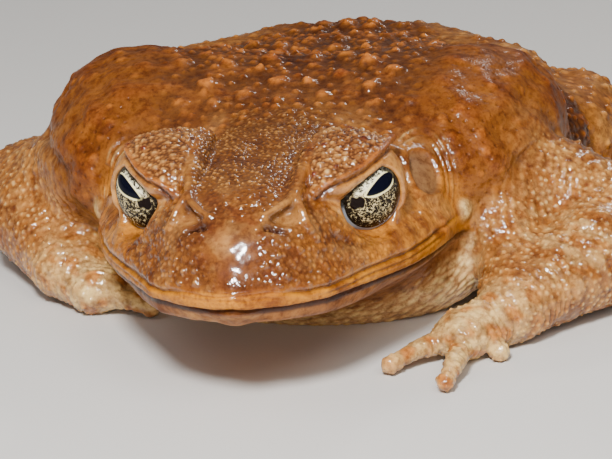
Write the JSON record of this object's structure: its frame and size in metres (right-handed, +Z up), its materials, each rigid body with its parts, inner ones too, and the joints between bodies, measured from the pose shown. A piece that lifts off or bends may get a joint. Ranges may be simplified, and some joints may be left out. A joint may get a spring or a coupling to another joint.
{
  "type": "giant toad",
  "caption": "Life-size still model of a giant toad crouched flat on its belly, with broad glands, crested head, folded hind legs and its left hand put forward.",
  "frame": {"origin": "on the floor, below the middle of the toad's outline seen from above", "axes": "-Y is where the toad faces, +X is its left side, +Z is up"},
  "size_m": [0.133, 0.1512, 0.038],
  "materials": {
    "skin": "wet warty skin, reddish brown",
    "pale_skin": "wet granular skin, tan with cream warts",
    "eardrum": "thin smooth skin, grey brown",
    "iris": "wet eye, gold marbled with black"
  },
  "bodies": {
    "root": {"eye_left": "iris", "eye_right": "iris", "foot_left": "pale_skin", "foot_right": "pale_skin", "forearm_left": "pale_skin", "forearm_right": "pale_skin", "hand_left": "pale_skin", "hand_right": "pale_skin", "head": "skin", "lower_jaw": "pale_skin", "parotoid_left": "skin", "parotoid_right": "skin", "shank_left": "skin", "shank_right": "skin", "thigh_left": "skin", "thigh_right": "skin", "trunk": "skin", "tympanum_left": "eardrum", "tympanum_right": "eardrum", "upper_arm_left": "skin", "upper_arm_right": "skin"}
  },
  "joints": []
}
